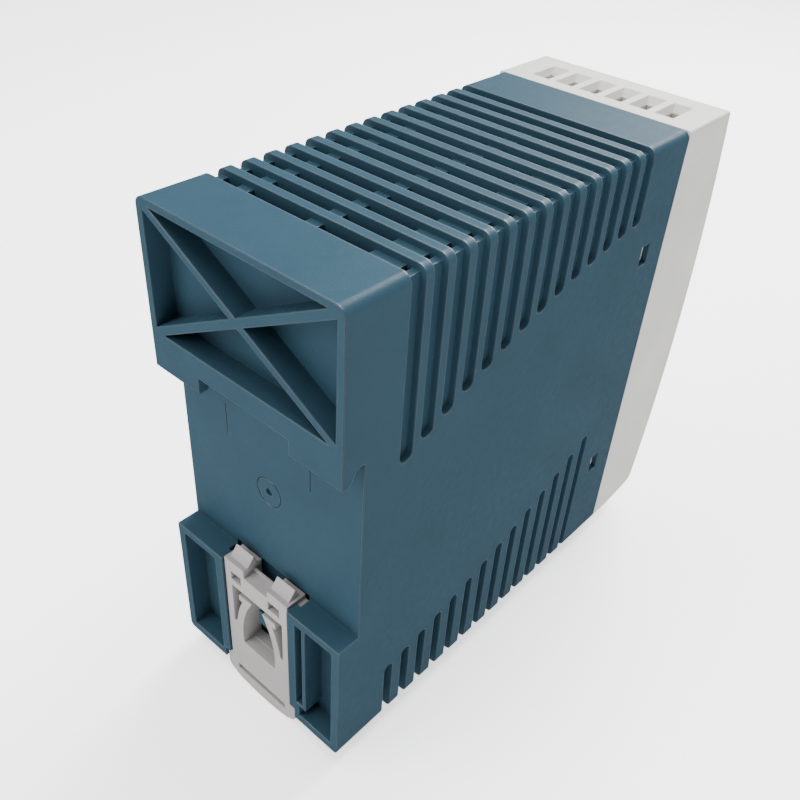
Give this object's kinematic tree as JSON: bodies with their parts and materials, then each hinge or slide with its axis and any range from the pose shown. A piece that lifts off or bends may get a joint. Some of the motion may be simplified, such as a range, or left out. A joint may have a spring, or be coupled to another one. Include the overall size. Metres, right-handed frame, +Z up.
{
  "type": "din rail power supply",
  "caption": "Slim DIN rail power supply in a vented blue-grey plastic housing with a light grey terminal cover and a spring-loaded rail latch at the back.",
  "frame": {"origin": "on the plane that the rail's flanges rest on, at the middle of the case's width and of the rail's height", "axes": "+Z up, +Y from the front face towards the rail, +X across the case, to the right seen from the front"},
  "size_m": [0.04, 0.1, 0.094],
  "materials": {
    "housing_blue": "fine spark-eroded grain, semi-matt",
    "cover_grey": "fine grain, semi-matt",
    "label_film": "printed film without print",
    "latch_grey": "moulded nylon, semi-matt",
    "clear_plastic": "clear, polished",
    "led_green": "tinted, polished",
    "trimmer_blue": "moulded",
    "rotor_white": "moulded",
    "terminal_green": "glass-filled, matt",
    "contact_tin": "tin plated",
    "screw_steel": "zinc plated",
    "cage_brass": "nickel flashed",
    "board_green": "glass-fibre board with solder resist",
    "connector_black": "moulded",
    "sheet_cream": "thin insulating film",
    "fuse_ceramic": "ceramic with plated caps",
    "varistor_blue": "dipped epoxy",
    "thermistor_dark": "dipped resin",
    "film_yellow": "moulded box",
    "disc_blue": "dipped epoxy",
    "core_green": "coated ferrite ring",
    "copper_wire": "enamelled copper",
    "epoxy_black": "moulded epoxy",
    "sleeve_dark": "shrunk sleeve",
    "ferrite": "sintered, matt",
    "bobbin_black": "moulded",
    "tape_yellow": "winding under tape",
    "heatsink_alu": "stamped sheet",
    "opto_white": "moulded",
    "relay_cream": "moulded"
  },
  "bodies": {
    "case": {"rear_housing": "housing_blue", "front_cover": "cover_grey", "front_label": "label_film", "light_pipe": "clear_plastic", "status_led": "led_green", "trimmer_body": "trimmer_blue", "output_terminal_body": "terminal_green", "output_contacts": "contact_tin", "input_terminal_body": "terminal_green", "input_contacts": "contact_tin", "front_board": "board_green", "main_board": "board_green", "board_connector": "connector_black", "insulation_sheet": "sheet_cream", "fuse": "fuse_ceramic", "varistor": "varistor_blue", "thermistor": "thermistor_dark", "x_capacitor": "film_yellow", "y_capacitors": "disc_blue", "choke_core": "core_green", "choke_winding": "copper_wire", "bridge_rectifier": "epoxy_black", "bulk_capacitor": "sleeve_dark", "transformer_core": "ferrite", "transformer_bobbin": "bobbin_black", "transformer_winding": "tape_yellow", "power_mosfet": "epoxy_black", "mosfet_heatsink": "heatsink_alu", "output_diode": "epoxy_black", "diode_heatsink": "heatsink_alu", "heatsink_screws": "screw_steel", "output_inductor": "ferrite", "output_capacitor_1": "sleeve_dark", "output_capacitor_2": "sleeve_dark", "controller_chip": "epoxy_black", "optocouplers": "opto_white", "dc_ok_relay": "relay_cream"},
    "rail_latch": {"rail_latch": "latch_grey"},
    "trimmer_rotor": {"trimmer_rotor": "rotor_white"},
    "output_screw_1": {"output_screw_1": "screw_steel"},
    "output_screw_2": {"output_screw_2": "screw_steel"},
    "output_screw_3": {"output_screw_3": "screw_steel"},
    "output_screw_4": {"output_screw_4": "screw_steel"},
    "output_screw_5": {"output_screw_5": "screw_steel"},
    "output_screw_6": {"output_screw_6": "screw_steel"},
    "input_screw_1": {"input_screw_1": "screw_steel"},
    "input_screw_2": {"input_screw_2": "screw_steel"},
    "input_screw_3": {"input_screw_3": "screw_steel"},
    "output_cage_1": {"output_cage_1": "cage_brass"},
    "output_cage_2": {"output_cage_2": "cage_brass"},
    "output_cage_3": {"output_cage_3": "cage_brass"},
    "output_cage_4": {"output_cage_4": "cage_brass"},
    "output_cage_5": {"output_cage_5": "cage_brass"},
    "output_cage_6": {"output_cage_6": "cage_brass"},
    "input_cage_1": {"input_cage_1": "cage_brass"},
    "input_cage_2": {"input_cage_2": "cage_brass"},
    "input_cage_3": {"input_cage_3": "cage_brass"}
  },
  "joints": [
    {"name": "latch_slide", "type": "slide", "parent": "case", "child": "rail_latch", "axis": [0, 0, -1], "range_m": [0, 0.0032], "stiffness_N_per_m": 800},
    {"name": "trimmer_turn", "type": "hinge", "parent": "case", "child": "trimmer_rotor", "pos_m": [-0.007, -0.0893, 0.0196], "axis": [0, -1, 0], "range_deg": [-135, 135]},
    {"name": "output_screw_1_turn", "type": "hinge", "parent": "case", "child": "output_screw_1", "pos_m": [-0.013, -0.0893, 0.0329], "axis": [0, 1, 0], "range_deg": [0, 1730]},
    {"name": "output_cage_1_slide", "type": "slide", "parent": "case", "child": "output_cage_1", "axis": [0, -1, 0], "range_m": [0, 0.0024]},
    {"name": "output_screw_2_turn", "type": "hinge", "parent": "case", "child": "output_screw_2", "pos_m": [-0.0078, -0.0893, 0.0329], "axis": [0, 1, 0], "range_deg": [0, 1730]},
    {"name": "output_cage_2_slide", "type": "slide", "parent": "case", "child": "output_cage_2", "axis": [0, -1, 0], "range_m": [0, 0.0024]},
    {"name": "output_screw_3_turn", "type": "hinge", "parent": "case", "child": "output_screw_3", "pos_m": [-0.0026, -0.0893, 0.0329], "axis": [0, 1, 0], "range_deg": [0, 1730]},
    {"name": "output_cage_3_slide", "type": "slide", "parent": "case", "child": "output_cage_3", "axis": [0, -1, 0], "range_m": [0, 0.0024]},
    {"name": "output_screw_4_turn", "type": "hinge", "parent": "case", "child": "output_screw_4", "pos_m": [0.0026, -0.0893, 0.0329], "axis": [0, 1, 0], "range_deg": [0, 1730]},
    {"name": "output_cage_4_slide", "type": "slide", "parent": "case", "child": "output_cage_4", "axis": [0, -1, 0], "range_m": [0, 0.0024]},
    {"name": "output_screw_5_turn", "type": "hinge", "parent": "case", "child": "output_screw_5", "pos_m": [0.0078, -0.0893, 0.0329], "axis": [0, 1, 0], "range_deg": [0, 1730]},
    {"name": "output_cage_5_slide", "type": "slide", "parent": "case", "child": "output_cage_5", "axis": [0, -1, 0], "range_m": [0, 0.0024]},
    {"name": "output_screw_6_turn", "type": "hinge", "parent": "case", "child": "output_screw_6", "pos_m": [0.013, -0.0893, 0.0329], "axis": [0, 1, 0], "range_deg": [0, 1730]},
    {"name": "output_cage_6_slide", "type": "slide", "parent": "case", "child": "output_cage_6", "axis": [0, -1, 0], "range_m": [0, 0.0024]},
    {"name": "input_screw_1_turn", "type": "hinge", "parent": "case", "child": "input_screw_1", "pos_m": [-0.008, -0.0893, -0.0339], "axis": [0, 1, 0], "range_deg": [0, 1730]},
    {"name": "input_cage_1_slide", "type": "slide", "parent": "case", "child": "input_cage_1", "axis": [0, -1, 0], "range_m": [0, 0.0024]},
    {"name": "input_screw_2_turn", "type": "hinge", "parent": "case", "child": "input_screw_2", "pos_m": [0, -0.0893, -0.0339], "axis": [0, 1, 0], "range_deg": [0, 1730]},
    {"name": "input_cage_2_slide", "type": "slide", "parent": "case", "child": "input_cage_2", "axis": [0, -1, 0], "range_m": [0, 0.0024]},
    {"name": "input_screw_3_turn", "type": "hinge", "parent": "case", "child": "input_screw_3", "pos_m": [0.008, -0.0893, -0.0339], "axis": [0, 1, 0], "range_deg": [0, 1730]},
    {"name": "input_cage_3_slide", "type": "slide", "parent": "case", "child": "input_cage_3", "axis": [0, -1, 0], "range_m": [0, 0.0024]}
  ],
  "couplings": [
    {"joint": "output_screw_1_turn", "follows": "output_cage_1_slide", "rad_per_m": 12566},
    {"joint": "output_screw_2_turn", "follows": "output_cage_2_slide", "rad_per_m": 12566},
    {"joint": "output_screw_3_turn", "follows": "output_cage_3_slide", "rad_per_m": 12566},
    {"joint": "output_screw_4_turn", "follows": "output_cage_4_slide", "rad_per_m": 12566},
    {"joint": "output_screw_5_turn", "follows": "output_cage_5_slide", "rad_per_m": 12566},
    {"joint": "output_screw_6_turn", "follows": "output_cage_6_slide", "rad_per_m": 12566},
    {"joint": "input_screw_1_turn", "follows": "input_cage_1_slide", "rad_per_m": 12566},
    {"joint": "input_screw_2_turn", "follows": "input_cage_2_slide", "rad_per_m": 12566},
    {"joint": "input_screw_3_turn", "follows": "input_cage_3_slide", "rad_per_m": 12566}
  ]
}
